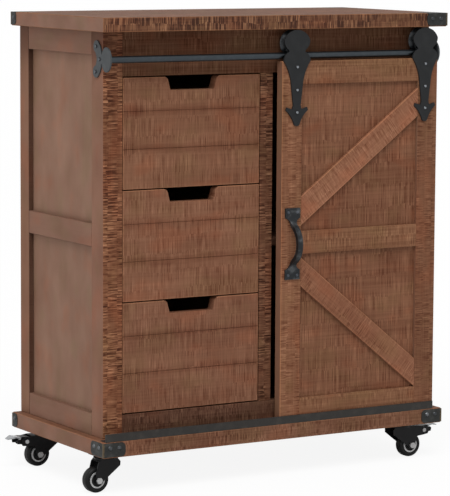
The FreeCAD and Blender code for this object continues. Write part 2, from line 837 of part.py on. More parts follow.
def make_rail_bracket(label, sign):
    """A flat bow with two lobes, screwed to the side, whose forward oval carries the rail's end."""
    inner, outer = f"{sign} * body_half", f"{sign} * (body_half + bracket_thickness)"
    body = new_body(label)
    for outline in (BRACKET_BOW, BRACKET_NECK, BRACKET_OVAL):
        add(body, "YZ_Plane", [moved(outline, "rail_line", "rail_height")], inner, outer)
    for y, z in BRACKET_LOBES:
        lobe = (f"rail_line + {y}", f"rail_height + {z}", "bracket_lobe_radius")
        add(body, "YZ_Plane", [lobe], inner, outer)
    return body


def add_heads(body, plane, places, radius, face, height, outward):
    """Small domed heads on a face of the plane's axis; outward is 1 or -1 along that axis."""
    outlines = [regular(x, y, radius, HEAD_SIDES) for x, y in places]
    pad = add(body, plane, outlines, face, f"{face} + {outward} * {height}", HEAD_SLOPE)
    faces_front = plane == "XZ_Plane"
    if faces_front == (outward > 0):
        # A sloped pad has to start on the face it stands on, also where it grows against its plane.
        sign = "-" if faces_front else ""
        bind(pad.Profile[0], "AttachmentOffset.Base.z", f"{sign}({face})")
        pad.Reversed = True


def make_bracket_screws():
    """Three domed screw heads on each rail bracket."""
    members = []
    places = moved([*BRACKET_LOBES, BRACKET_WAIST_SCREW], "rail_line", "rail_height")
    for name, sign in (("left", -1), ("right", 1)):
        body = new_body(f"{name}_bracket_screws")
        face = f"{sign} * (body_half + bracket_thickness)"
        add_heads(body, "YZ_Plane", places, "bolt_head_radius", face, "bolt_head_height", sign)
        members.append(body)
    return group("bracket_screws", members)


def make_rail_bar():
    """The round bar between the two bracket discs."""
    bar = document.addObject("Part::Cylinder", "rail_bar")
    bar.Label = "rail_bar"
    bind(bar, "Radius", "rail_radius")
    bind(bar, "Height", "2 * body_half")
    bar.Placement.Rotation = FreeCAD.Rotation(FreeCAD.Vector(0, 1, 0), 90)
    bind(bar, "Placement.Base.x", "centre_shift_x - body_half")
    bind(bar, "Placement.Base.y", "centre_shift_y + rail_line")
    bind(bar, "Placement.Base.z", "rail_height")
    return bar


def make_floor_guide():
    """An angle whose foot is screwed to the base and whose upright flange stands before the door."""
    front, bottom = "slab_front", "body_bottom"
    flange_back, foot_back = f"{front} + guide_thickness", f"{front} + guide_thickness + guide_foot"
    foot_top, top = f"{bottom} + guide_foot_thickness", f"{bottom} + guide_height"
    outline = [
        (front, bottom), (foot_back, bottom), (foot_back, foot_top),
        (flange_back, foot_top), (flange_back, top), (front, top),
    ]
    body = new_body("floor_guide")
    add(body, "YZ_Plane", [outline], "guide_left", "guide_right")
    return body


def make_handle():
    """A forged pull: a strap whose flat ends lie on the door, narrowed and bowed out to the grip."""
    body = new_body("door_handle")
    side = [(f"door_front - {out}", f"handle_middle + {up}", *arc) for out, up, *arc in PULL_SIDE]
    plate_half, grip_half = "handle_plate_width / 2", "handle_grip_width / 2"
    add(body, "YZ_Plane", [side], f"handle_place - {plate_half}", f"handle_place + {plate_half}")
    waists = []
    for sign in (-1, 1):
        beyond, edge = f"handle_place + {sign} * ({plate_half} + 1)", f"handle_place + {sign} * {plate_half}"
        grip = f"handle_place + {sign} * {grip_half}"
        waists.append([
            (beyond, f"handle_middle + {FLARE_END}"),
            (edge, f"handle_middle + {FLARE_END}", FLARE_RADIUS, -sign),
            (grip, f"handle_middle + {FLARE_START}"),
            (grip, f"handle_middle - {FLARE_START}", FLARE_RADIUS, -sign),
            (edge, f"handle_middle - {FLARE_END}"),
            (beyond, f"handle_middle - {FLARE_END}"),
        ])
    cut(body, "XZ_Plane", waists, "handle_front - 1", "door_front")
    return body


def make_irons(label, corners, z_low, z_high, capped):
    """Folded sheet round the slab's corners; each corner is (x sign, y sign). A cap adds a top face."""
    members = []
    for x, y in corners:
        body = new_body(f"{label}_{'right' if x > 0 else 'left'}_{'back' if y > 0 else 'front'}")
        arm_x, arm_y = iron_arms(y)
        x_in, x_slab, x_out = (f"{x} * ({size})" for size in
                               (f"slab_half - {arm_x}", "slab_half", "slab_half + iron_thickness"))
        y_in, y_slab, y_out = (f"{y} * ({size})" for size in
                               (f"slab_back - {arm_y}", "slab_back", "slab_back + iron_thickness"))
        angle = [
            (x_in, y_out), (x_out, y_out), (x_out, y_in),
            (x_slab, y_in), (x_slab, y_slab), (x_in, y_slab),
        ]
        iron = add(body, "XY_Plane", [angle], z_low, z_high)
        round_edges(body, iron, "iron_round", is_as_long_as("iron_thickness"))
        if capped:
            add(body, "XY_Plane", [iron_cap((x, y))], f"{z_high} - iron_thickness", z_high)
        members.append(body)
    return group(label, members)


def make_studs(label, top_corners, base_corners):
    """Domed studs: two on each arm of a corner iron, and one on the short arms at the rear."""
    rows = [(top_corners, "overall_height - stud_drop"), (base_corners, "body_bottom - stud_drop")]
    insets = ["stud_inset", "(stud_inset + stud_pitch)"]
    members = []
    for sign, side in ((-1, "front"), (1, "back")):
        places = [(f"{x} * (slab_half - {inset})", height) for corners, height in rows
                  for x, y in corners if y == sign for inset in insets]
        body = new_body(f"{label}_{side}")
        face = f"{sign} * (slab_back + iron_thickness)"
        add_heads(body, "XZ_Plane", places, "stud_radius", face, "stud_height", sign)
        members.append(body)
    for sign, side in ((-1, "left"), (1, "right")):
        places = [(f"{y} * (slab_back - {inset})", height) for corners, height in rows
                  for x, y in corners if x == sign for inset in (insets if y < 0 else ["rear_stud_inset"])]
        body = new_body(f"{label}_{side}")
        face = f"{sign} * (slab_half + iron_thickness)"
        add_heads(body, "YZ_Plane", places, "stud_radius", face, "stud_height", sign)
        members.append(body)
    return group(label, members)


def make_caster_plates(casters):
    """Square plates under the base, each with the raceway and the kingpin that carry a fork."""
    half, corner = "plate_size / 2", "(plate_size / 2 - plate_corner)"
    plate = [
        (f"-{half}", f"-{corner}"), (f"-{corner}", f"-{half}"), (corner, f"-{half}"), (half, f"-{corner}"),
        (half, corner), (corner, half), (f"-{corner}", half), (f"-{half}", corner),
    ]
    head = regular("0", "0", "kingpin_head_radius", HEAD_SIDES)
    members = []
    for name, line, swivel, _ in casters:
        body = new_body(f"{name}_caster_plate", swivel, line)
        add(body, "XY_Plane", [plate], "plate_bottom", "base_height")
        add(body, "XY_Plane", [("0", "0", "raceway_radius")], "raceway_bottom", "plate_bottom")
        add(body, "XY_Plane", [("0", "0", "kingpin_radius")], "kingpin_head_top - 0.5", "raceway_bottom")
        add(body, "XY_Plane", [head], "kingpin_head_top - kingpin_head_height", "kingpin_head_top")
        members.append(body)
    return group("caster_plates", members)


def make_fork(name, line, swivel, heading, braked):
    """A stamped fork: round crown on the raceway, two legs down to the axle, bolt and nuts."""
    body = new_body(f"{name}_fork_shell", swivel, line, turn=heading)
    half, inside = "fork_half_width", "(fork_half_width - fork_leg_thickness)"
    beyond = [f"-{half} - 1", f"{half} + 1"]
    between = [f"-{inside}", inside]
    crown_bottom = "fork_top - fork_crown_height"
    add(body, "XZ_Plane", [LEG_FRONT + (BRAKED_TAIL if braked else PLAIN_TAIL)], f"-{half}", half)
    cut(body, "YZ_Plane", [rectangle(*between, "0", "fork_web_bottom")], f"-{FORK_END}", FORK_END)
    add(body, "XY_Plane", [("0", "0", "fork_crown_radius")], crown_bottom, "fork_top - fork_play")
    bore = ("0", "0", "kingpin_radius + running_play")
    cut(body, "XY_Plane", [bore], "fork_web_bottom - 1", "fork_top + 1")
    cut(body, "XZ_Plane", [("trail", "axle_height", "axle_radius")], *beyond)
    members = [body, make_axle_bolt(name, line, swivel, heading)]
    if braked:
        cut(body, "YZ_Plane", [rectangle(*between, "0", "fork_top + 1")], BRAKED_WEB_END, FORK_END)
        cut(body, "XZ_Plane", [("pedal_pivot_trail", "pedal_pivot_height", "pedal_pin_radius")], *beyond)
        members.append(make_pedal_pin(name, line, swivel, heading))
    return group(f"{name}_fork", members)


def make_axle_bolt(name, line, swivel, heading):
    """The bolt that the wheel turns on, with a head and a nut outside the legs."""
    body = new_body(f"{name}_axle_bolt", swivel, line, turn=heading)
    half = "fork_half_width"
    nut = regular("trail", "axle_height", "axle_nut_radius", 6)
    add(body, "XZ_Plane", [("trail", "axle_height", "axle_radius")], f"-{half}", half)
    add(body, "XZ_Plane", [nut], f"-{half} - axle_nut_height", f"-{half}")
    add(body, "XZ_Plane", [nut], half, f"{half} + axle_nut_height")
    return body


def make_pedal_pin(name, line, swivel, heading):
    """The rivet that the brake pedal rocks on."""
    body = new_body(f"{name}_pedal_pin", swivel, line, turn=heading)
    half, place = "fork_half_width", ("pedal_pivot_trail", "pedal_pivot_height")
    head = regular(*place, "pedal_pin_head_radius", HEAD_SIDES)
    add(body, "XZ_Plane", [(*place, "pedal_pin_radius")], f"-{half}", half)
    add(body, "XZ_Plane", [head], f"-{half} - pedal_pin_head_height", f"-{half}")
    add(body, "XZ_Plane", [head], half, f"{half} + pedal_pin_head_height")
    return body


def make_wheel(name, line, swivel, heading):
    """Tyre and hub turned as one: a bevelled tread, flat faces and a hub out to the fork."""
    right = [
        ("hub_half_width", "axle_radius + running_play"),
        ("hub_half_width", "hub_radius"),
        ("wheel_width / 2", "hub_radius"),
        ("wheel_width / 2", "wheel_radius - tyre_bevel"),
        ("wheel_width / 2 - tyre_bevel", "wheel_radius"),
    ]
    left = [(f"-({y})", radius) for y, radius in reversed(right)]
    body = new_body(f"{name}_wheel", f"{swivel} + {heading_sign(heading)} * trail", line, "axle_height")
    revolve(body, [right + left])
    return body


def heading_sign(heading):
    """1 where the wheel trails to the right of its swivel, -1 to the left."""
    return "1" if heading == 0 else "-1"


def make_pedal(name, line, swivel, heading):
    """A pressed brake lever: two ears on the pin, and a thin leaf that narrows to its tip."""
    body = new_body(f"{name}_brake_pedal", swivel, line, turn=heading)
    pin, half = ("pedal_pivot_trail", "pedal_pivot_height"), "pedal_half_width"
    between = [f"-{half} + pedal_sheet", f"{half} - pedal_sheet"]
    ears_top = f"pedal_pivot_height + {PEDAL_LEAF[0][1]}"
    add(body, "XZ_Plane", [moved(PEDAL_EARS, *pin)], f"-{half}", half)
    cut(body, "XZ_Plane", [rectangle("0", "pedal_reach", "0", ears_top)], *between)
    add(body, "XZ_Plane", [moved(PEDAL_LEAF, *pin)], f"-{half}", half)
    cut(body, "XZ_Plane", [(*pin, "pedal_pin_radius + running_play")], f"-{half} - 1", f"{half} + 1")
    corners = []
    for sign in (-1, 1):
        edge = f"{sign} * ({half} + 1)"
        corners.append([
            ("pedal_reach - pedal_tip_length", edge),
            ("pedal_reach + 1", edge),
            ("pedal_reach + 1", f"{sign} * pedal_tip_half"),
        ])
    cut(body, "XY_Plane", corners, "pedal_pivot_height", "base_height")
    return body


def check_shapes(sub_parts):
    """Stop if any object failed or any sub-part has no sound shape."""
    for item in document.Objects:
        if "Invalid" in item.State or "Error" in item.State:
            raise RuntimeError(f"{item.Label} failed: {item.State}")
    for pocket in cut_checks:
        before = pocket.BaseFeature.Shape.Volume
        if pocket.Shape.Volume > before - 0.01:
            raise RuntimeError(f"{pocket.Label} cuts nothing")
    unsound = [item.Label for item in sub_parts if item.Shape.isNull() or not item.Shape.isValid()]
    if unsound:
        raise RuntimeError(f"no sound shape: {unsound}")


def save(sub_parts):
    """One file for each sub-part, named by its label."""
    os.makedirs("parts", exist_ok=True)
    for item in sub_parts:
        item.Shape.exportStep(f"parts/{item.Label}.step")


sizes_sheet = fill_sheet("Sizes", SIZES, False)
places_sheet = fill_sheet("Places", PLACES, True)

TOP_CORNERS = [(1, -1), (-1, 1), (1, 1)]
BASE_CORNERS = [(-1, -1), (1, -1), (-1, 1), (1, 1)]
# Name, line in Y, swivel place in X, and heading: 0 trails to the right, 180 to the left.
CASTERS = [
    ("front_left", "front_caster_line", "front_left_swivel", 180),
    ("front_right", "front_caster_line", "front_right_swivel", 0),
    ("rear_left", "rear_caster_line", "rear_left_swivel", 180),
    ("rear_right", "rear_caster_line", "rear_right_swivel", 180),
]
BRAKED = ("front_right", "rear_left")

parts = [
    make_slab("top_board", "body_top", "overall_height", TOP_CORNERS),
    make_slab("base_board", "base_height", "body_bottom"),
    make_post("front_left_post", "-1", True),
    make_post("front_right_post", "1", True),
    make_post("rear_left_post", "-1", False),
    make_post("rear_right_post", "1", False),
]
parts += make_side("left", "-1")
parts += make_side("right", "1")
parts += make_face()
parts.append(make_runners())
for drawer_level, drawer_name in enumerate(("bottom", "middle", "top")):
    parts += make_drawer(drawer_name, drawer_level)
parts += make_door()
parts.append(make_handle())
parts.append(make_hanger("left_hanger", "left_hanger_place"))
parts.append(make_hanger("right_hanger", "right_hanger_place"))
parts.append(make_hanger_bolts())
parts.append(make_roller("left_roller", "left_hanger_place"))
parts.append(make_roller("right_roller", "right_hanger_place"))
parts.append(make_rail_bar())
parts.append(make_rail_bracket("left_rail_bracket", "-1"))
parts.append(make_rail_bracket("right_rail_bracket", "1"))
parts.append(make_bracket_screws())
parts.append(make_floor_guide())
parts.append(make_irons("top_corner_irons", TOP_CORNERS, "body_top + iron_edge", "overall_height", True))
parts.append(make_irons("base_corner_irons", BASE_CORNERS, "base_height + iron_edge",
                        "body_bottom - iron_edge", False))
parts.append(make_studs("corner_studs", TOP_CORNERS, BASE_CORNERS))
parts.append(make_caster_plates(CASTERS))
for caster_name, caster_line, caster_swivel, caster_heading in CASTERS:
    has_brake = caster_name in BRAKED
    parts.append(make_fork(caster_name, caster_line, caster_swivel, caster_heading, has_brake))
    parts.append(make_wheel(caster_name, caster_line, caster_swivel, caster_heading))
    if has_brake:
        parts.append(make_pedal(caster_name, caster_line, caster_swivel, caster_heading))

document.recompute()
check_shapes(parts)
save(parts)

whole = FreeCAD.BoundBox()
for part in parts:
    whole.add(part.Shape.optimalBoundingBox(False))
print(f"{len(parts)} sub-parts, x {whole.XMin:.2f} to {whole.XMax:.2f}, "
      f"y {whole.YMin:.2f} to {whole.YMax:.2f}, z {whole.ZMin:.2f} to {whole.ZMax:.2f}")
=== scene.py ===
import json
import math

import bmesh
import bpy
from mathutils import Matrix, Vector


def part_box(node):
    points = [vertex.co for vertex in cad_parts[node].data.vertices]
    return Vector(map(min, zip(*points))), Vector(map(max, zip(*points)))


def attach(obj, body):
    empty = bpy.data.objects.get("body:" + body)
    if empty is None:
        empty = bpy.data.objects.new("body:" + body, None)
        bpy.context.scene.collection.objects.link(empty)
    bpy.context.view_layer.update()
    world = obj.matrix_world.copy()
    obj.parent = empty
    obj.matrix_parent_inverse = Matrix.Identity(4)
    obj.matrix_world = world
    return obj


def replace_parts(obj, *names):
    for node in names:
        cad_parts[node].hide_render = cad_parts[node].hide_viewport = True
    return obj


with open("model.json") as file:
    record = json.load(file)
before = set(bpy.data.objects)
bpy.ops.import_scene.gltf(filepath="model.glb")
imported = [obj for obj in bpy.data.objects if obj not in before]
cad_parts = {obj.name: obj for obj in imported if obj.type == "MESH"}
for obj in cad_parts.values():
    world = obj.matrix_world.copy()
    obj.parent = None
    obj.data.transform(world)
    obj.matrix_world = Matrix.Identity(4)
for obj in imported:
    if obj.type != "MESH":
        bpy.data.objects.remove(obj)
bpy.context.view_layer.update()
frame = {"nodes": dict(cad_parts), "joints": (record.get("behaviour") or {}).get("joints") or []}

# The base board is one slab of rough-sawn fir that carries the case. It was stained after sawing, so
# the hollows between the saw's ridges hold the dark stain and the ridges have rubbed pale.


class Wire:
    """An output socket in a finish's node tree; sums on wires add Math nodes."""

    def __init__(self, socket):
        self.socket = socket

    def node(self, kind, settings=None, inputs=None, output=0):
        """A new node: its settings are made first, then its sockets get values or wires."""
        tree = self.socket.id_data
        made = tree.nodes.new("ShaderNode" + kind)
        for name, setting in (settings or {}).items():
            if name == "stops":
                while len(made.color_ramp.elements) < len(setting):
                    made.color_ramp.elements.new(1)
                for element, (place, colour) in zip(made.color_ramp.elements, setting):
                    element.position = place
                    element.color = colour
            else:
                setattr(made, name, setting)
        for name, value in (inputs or {}).items():
            if isinstance(value, Wire):
                tree.links.new(value.socket, made.inputs[name])
            else:
                made.inputs[name].default_value = value
        return Wire(made.outputs[output])

    def other(self, name):
        """Another output of the same node."""
        return Wire(self.socket.node.outputs[name])

    def maths(self, operation, *values):
        """A Math node on the values or wires given."""
        return self.node("Math", {"operation": operation}, dict(enumerate(values)))

    def __add__(self, value):
        return self.maths("ADD", self, value)

    __radd__ = __add__

    def __sub__(self, value):
        return self.maths("SUBTRACT", self, value)

    def __rsub__(self, value):
        return self.maths("SUBTRACT", value, self)

    def __mul__(self, value):
        return self.maths("MULTIPLY", self, value)

    __rmul__ = __mul__

    def __abs__(self):
        return self.maths("ABSOLUTE", self)

    def floor(self):
        return self.maths("FLOOR", self)

    def root(self):
        return self.maths("SQRT", self)

    def least(self, value):
        return self.maths("MINIMUM", self, value)

    def most(self, value):
        return self.maths("MAXIMUM", self, value)

    def ease(self, low, high):
        """0 at low and 1 at high, smooth between and flat beyond; low may be the greater."""
        spread = {"Value": self, "From Min": low, "From Max": high}
        return self.node("MapRange", {"interpolation_type": "SMOOTHSTEP"}, spread)

    def ramp(self, *stops):
        return self.node("ValToRGB", {"stops": stops}, {0: self})

    def blend(self, under, over, mode="MIX"):
        """Self is how much of the upper colour lies on the lower one."""
        colours = {0: self, 6: under, 7: over}
        return self.node("Mix", {"data_type": "RGBA", "blend_type": mode}, colours, 2)

    def mottle(self, size, detail=2, rough=0.5):
        """Noise round zero with its own size along each axis, for a wire of places in metres."""
        scaled = {0: self, 1: [1 / length for length in size]}
        scale = self.node("VectorMath", {"operation": "MULTIPLY"}, scaled)
        noise = self.node("TexNoise", {}, {"Vector": scale, "Scale": 1, "Detail": detail, "Roughness": rough})
        return noise - 0.5


def tint(red, green, blue):
    """A colour from its 0 to 255 values on a screen, as the shader wants it."""
    return tuple(((part / 255 + 0.055) / 1.055) ** 2.4 if part > 10 else part / 3295
                 for part in (red, green, blue)) + (1,)


def new_finish(name, recipe):
    """A material; the recipe takes the place on the piece, in metres, and gives the shader's sockets."""
    material = bpy.data.materials.new(name)
    material.use_nodes = True
    shader = material.node_tree.nodes["Principled BSDF"]
    start = Wire(shader.outputs[0]).node("TexCoord", output="Object")
    for socket, value in recipe(start).items():
        if isinstance(value, Wire):
            material.node_tree.links.new(value.socket, shader.inputs[socket])
        else:
            shader.inputs[socket].default_value = value
    return material


def dress(material, *nodes):
    """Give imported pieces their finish."""
    for node in nodes:
        for slot in frame["nodes"][node].material_slots:
            slot.material = material


def board_axes(along):
    """Directions along a board, across its face and through it; along is an axis or a slope in radians."""
    right, back, up = Vector((1, 0, 0)), Vector((0, 1, 0)), Vector((0, 0, 1))
    if along == "X":
        return right, up, back
    if along == "Y":
        return back, up, right
    if along == "Z":
        return up, right, back
    run, rise = math.cos(along), math.sin(along)
    return Vector((run, 0, rise)), Vector((-rise, 0, run)), back


def turned(place, axes):
    """The place measured along the board's own three axes."""
    parts = [place.node("VectorMath", {"operation": "DOT_PRODUCT"}, {0: place, 1: axis}, "Value")
             for axis in axes]
    return place.node("CombineXYZ", inputs=dict(enumerate(parts)))


SQUARE_ON = 0.99
WIDE_SHARE = 0.5
NOWHERE = 9


def face_levels(axes, nodes):
    """Where the flat faces of squared boards lie along each of the board's own axes."""
    levels = []
    for axis in axes:
        areas = {}
        for node in nodes:
            mesh = frame["nodes"][node].data
            for polygon in mesh.polygons:
                if abs(polygon.normal.dot(axis)) > SQUARE_ON:
                    level = round(polygon.center.dot(axis), 4)
                    areas[level] = areas.get(level, 0) + polygon.area
        widest = max(areas.values(), default=0)
        levels.append(sorted(level for level, area in areas.items() if area > WIDE_SHARE * widest))
    return levels


def arris_gap(board, levels):
    """How far a point on squared boards is from their nearest arris."""
    first = board.node("SeparateXYZ", inputs={0: board})
    gaps = []
    for wire, steps in zip((first, first.other(1), first.other(2)), levels):
        gap = abs(wire - (steps[0] if steps else NOWHERE))
        for level in steps[1:]:
            gap = gap.least(abs(wire - level))
        gaps.append(gap)
    along, across, through = gaps
    return along.least(across).most(along.most(across).least(through))


def shade(colour, factors):
    """A colour on the screen made darker or paler, part by part."""
    return tint(*(min(255, part * factor) for part, factor in zip(colour, factors)))


# How the stain's shades lie on the scale from a hollow to a ridge, each against the mean colour.
STAIN_SHADES = ((0.0, (0.56, 0.44, 0.36)), (0.27, (0.82, 0.73, 0.67)), (0.5, (1.0, 1.0, 1.0)),
                (0.73, (1.16, 1.20, 1.23)), (1.0, (1.38, 1.50, 1.58)))
SANDED_SHADES = ((0.3, (0.94, 0.92, 0.91)), (0.7, (1.05, 1.07, 1.08)))
RUBBED = (1.38, 1.42, 1.38)
REDDER = (1.07, 0.95, 0.90, 1)
GREENER = (0.95, 1.01, 0.94, 1)
GATHERED = (0.62, 0.47, 0.41, 1)
PAINTED_SHADE_TINT = (0.42, 0.36, 0.34, 1)


def sawn_wood(name, along, mean, marks=1.0, pitch=0.0018, span=0.02, fibre=1.0, patch=1.0, nodes=(),
              seed=0.0, end=None, rub=0.5, sheen=0.12, shaded=None, pale=0.0, seams=()):
    """Rough-sawn stained fir: saw marks across the grain in bands, fibres along it, and rubbed arrises.

    Mean is the colour of the middle tone. Marks, fibre and patch are how strong the saw's strokes, the
    fibres and the cloudiness are; pitch is a stroke's width and span its length. Nodes are the boards
    whose arrises are rubbed, by rub. End is the smoother colour of faces that look sideways, their
    sanding made paler and greyer as painted sheen. Shaded is two heights between which the colour
    deepens as painted shade, and by how much. Pale makes the pale strokes few and the ground dark.
    Seams are heights of joints where stain has gathered.
    """
    axes = board_axes(along)

    def recipe(place):
        board = turned(place, axes)
        offset = (seed, 0.37 * seed, 0.71 * seed)
        laid = board.node("VectorMath", {"operation": "ADD"}, {0: board, 1: offset})
        lengthwise = laid.node("SeparateXYZ", inputs={0: laid})
        edge = lengthwise.other("Y") + laid.mottle((0.03, 0.02, 0.02)) * (span * 0.8)
        band = (edge * (1 / span)).floor()
        jump = band.node("TexWhiteNoise", {"noise_dimensions": "1D"}, {"W": band})
        struck = laid.node("CombineXYZ", inputs={0: lengthwise + jump * 0.4, 1: lengthwise.other("Y"),
                                                 2: lengthwise.other("Z")})
        lines = struck.mottle((pitch, span * 2, span * 2), 2, 0.6)
        stroke = lines.ease(pale - 0.16, pale + 0.16) - 0.5
        coarse = struck.mottle((pitch * 4, span, span), 2, 0.6)
        where = laid.mottle((0.045, 0.022, 0.022), 2).ease(-0.14, 0.10) * 0.7 + 0.3
        grain = laid.mottle((0.14, 0.0032, 0.0032), 3, 0.6)
        cloud = laid.mottle((0.20, 0.05, 0.05), 3, 0.5)
        facing = place.node("TexCoord", output="Normal")
        faces = facing.node("SeparateXYZ", inputs={0: facing})
        sideways, upward = abs(faces).ease(0.7, 0.9), abs(faces.other("Z")).ease(0.7, 0.9)
        relief = (stroke * 0.42 + coarse * 0.5) * where * marks + grain * (0.5 * fibre)
        if end:
            relief = relief * (1 - sideways * 0.8) * (1 - upward * 0.5)
        tone = relief * 1.2 + cloud * (0.45 * patch) + 0.5
        wood = tone.ramp(*((level, shade(mean, factors)) for level, factors in STAIN_SHADES))
        # Faces that look sideways take the end colour: their sanding, made paler and greyer as painted sheen.
        if end:
            worn = grain * 0.15 + laid.mottle((0.09, 0.05, 0.05), 3) + 0.5
            sanded = worn.ramp(*((level, shade(end, factors)) for level, factors in SANDED_SHADES))
            wood = (sideways * 0.95).blend(wood, sanded)
        hue = laid.mottle((0.08, 0.05, 0.05), 2)
        wood = hue.ease(0.02, 0.20).blend(wood, REDDER, "MULTIPLY")
        wood = hue.ease(0.0, -0.18).blend(wood, GREENER, "MULTIPLY")
        height = place.node("SeparateXYZ", inputs={0: place}).other("Z")
        for seam in seams:
            near = abs(height - seam) + laid.mottle((0.05, 0.012, 0.012)) * 0.016
            wood = (near.ease(0.011, 0.0) * 0.5).blend(wood, GATHERED, "MULTIPLY")
        # Painted shade: the colour deepens between two heights.
        if shaded:
            low, high, depth = shaded
            wood = (height.ease(low, high) * depth).blend(wood, PAINTED_SHADE_TINT, "MULTIPLY")
        if nodes:
            gap = arris_gap(board, face_levels(axes, nodes)) + laid.mottle((0.03, 0.006, 0.006)) * 0.0022
            wood = (gap.ease(0.0018, 0.0006) * rub).blend(wood, shade(mean, RUBBED))
        bump = tone.node("Bump", {}, {"Strength": 0.5, "Distance": 0.0006, "Height": relief})
        return {"Base Color": wood, "Roughness": 0.68 - relief * 0.1, "Normal": bump,
                "Specular IOR Level": sheen}

    return new_finish(name, recipe)


# The sanded ends' colour is made paler and greyer than the sawn faces' as painted sheen.
SANDED_AND_SHEEN_END = (124, 91, 75)
dress(sawn_wood("base_board_stain", "X", (104, 70, 52), marks=0.9, span=0.014, nodes=["base_board"],
                end=SANDED_AND_SHEEN_END), "base_board")

# Four corner posts of the same fir stand on the base, grooved for the side panels. Their front faces
# show the saw's marks most: dark bands across them, broken by paler strokes. The rear posts are painted
# dark on their faces that look front and back, as shade in the recesses beside the side panels.
POSTS = ("front_left_post", "front_right_post", "rear_left_post", "rear_right_post")
for number, post in enumerate(POSTS):
    front = post.startswith("front")
    # The posts are painted darker near their tops, as shade under the top board's overhang.
    dress(sawn_wood(post + "_stain", "Z", (113, 73, 51) if front else (78, 54, 42),
                    marks=1.9 if front else 0.3, pitch=0.0017, span=0.019, fibre=0.4, patch=1.8,
                    seed=number + 1.0, end=(126, 90, 73) if front else (124, 88, 69),
                    shaded=(0.69, 0.75, 0.7)), post)

# Each side is three rails between the posts with two thin panels in their grooves. This wood was
# sanded before it was stained, so it is smooth and only faintly grained; its colour is made paler and
# greyer than the front's as painted sheen.
for side in ("left", "right"):
    rails, panels = side + "_side_rails", side + "_side_panels"
    dress(sawn_wood(rails + "_stain", "Y", (104, 75, 61), marks=0.3, seed=7.0, end=(124, 91, 75)), rails)
    # The side panels are painted darker towards the bottom, as shade.
    dress(sawn_wood(panels + "_stain", "Z", (130, 98, 81), marks=0.2, seed=8.0, end=(131, 99, 82),
                    shaded=(0.5, 0.3, 0.1)), panels)

# The boards of the front, sawn fir fixed between the posts: a deep top rail behind the sliding gear,
# a low one, and the upright divider between the drawers and the compartment.
# The top rail is painted darker, as shade under the overhanging top board.
dress(sawn_wood("front_top_rail_stain", "X", (88, 59, 43), marks=0.8, span=0.03, seed=11.0, sheen=0.03),
      "front_top_rail")
dress(sawn_wood("front_bottom_rail_stain", "X", (84, 56, 42), marks=1.3, span=0.014, seed=12.0),
      "front_bottom_rail")
dress(sawn_wood("front_divider_stain", "Z", (91, 59, 42), marks=2.2, pitch=0.0017, span=0.019, fibre=0.4,
                seed=13.0), "front_divider")

# Inside the case: the partition behind the divider, the thin back, the shelf and the drawer runners,
# all planed and stained dark.
dress(sawn_wood("partition_stain", "Z", (84, 56, 42), marks=0.3, seed=14.0), "partition")
dress(sawn_wood("back_panel_stain", "Z", (96, 68, 52), marks=0.35, seed=15.0), "back_panel")
dress(sawn_wood("shelf_stain", "X", (88, 60, 46), marks=0.3, seed=16.0), "shelf")
dress(sawn_wood("runner_stain", "Y", (88, 60, 46), marks=0.2, seed=17.0), "drawer_runners")

# The top board is one slab of fir that lies on the posts and overhangs the case at the front and both
# ends. Its face and front edge are sawn, its ends sanded.
dress(sawn_wood("top_board_stain", "X", (101, 66, 45), marks=2.2, pitch=0.0020, span=0.022, pale=0.03,
                nodes=["top_board"], seed=21.0, end=SANDED_AND_SHEEN_END, sheen=0.2), "top_board")

# Three drawers. Each front is a wide board of three strips with a notch cut for the fingers; the box
# behind it is planed board with a thin bottom.
SEAM_FIRST, SEAM_PITCH = 0.057, 0.0635
DRAWERS = (("bottom_drawer", (114, 77, 58)), ("middle_drawer", (118, 80, 60)),
           ("top_drawer", (114, 77, 57)))
for number, (drawer, mean) in enumerate(DRAWERS):
    front = drawer + "_front"
    first_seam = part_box(front)[1].z - SEAM_FIRST
    # The top drawer's front is painted darker near its top, as shade under the top rail and top board.
    dress(sawn_wood(front + "_stain", "X", mean, marks=0.7, fibre=0.4, pitch=0.0014, span=0.03,
                    nodes=[front], seed=31.0 + number, shaded=(0.6, 0.72, 0.12),
                    seams=(first_seam, first_seam - SEAM_PITCH)), front)
    dress(sawn_wood(drawer + "_box_stain", "Y", (112, 80, 60), marks=0.15, seed=41.0 + number),
          drawer + "_sides", drawer + "_back", drawer + "_bottom")

# The barn door: upright stiles and three rails, grooved for panels that lie a little behind their
# faces, with a brace on the panels across each half. All of it is sawn fir.
STILES = (("door_left_stile", (118, 79, 57)), ("door_right_stile", (107, 71, 51)))
for number, (stile, mean) in enumerate(STILES):
    dress(sawn_wood(stile + "_stain", "Z", mean, marks=0.9, span=0.016, fibre=0.7, nodes=[stile],
                    seed=51.0 + number, end=(120, 86, 68)), stile)
dress(sawn_wood("door_rail_stain", "X", (112, 76, 54), marks=0.8, pitch=0.0015, nodes=["door_rails"],
                seed=53.0, rub=0.2), "door_rails")
dress(sawn_wood("door_panel_stain", "X", (110, 73, 53), marks=0.8, pitch=0.0015, span=0.04, fibre=0.6,
                seed=54.0), "door_panels")
BRACE_END = 0.05
BRACES = (("door_upper_brace", 1, (128, 86, 64)), ("door_lower_brace", -1, (121, 80, 59)))
for number, (brace, rise, mean) in enumerate(BRACES):
    low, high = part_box(brace)
    slope = rise * math.atan2(high.z - low.z - BRACE_END, high.x - low.x)
    dress(sawn_wood(brace + "_stain", slope, mean, marks=0.7, pitch=0.0015, fibre=0.6, nodes=[brace],
                    seed=55.0 + number, rub=0.35), brace)

# The ironwork is cut from sheet, painted a gunmetal grey that is dull on the flats and a little
# brighter where hands and the roller have polished it.


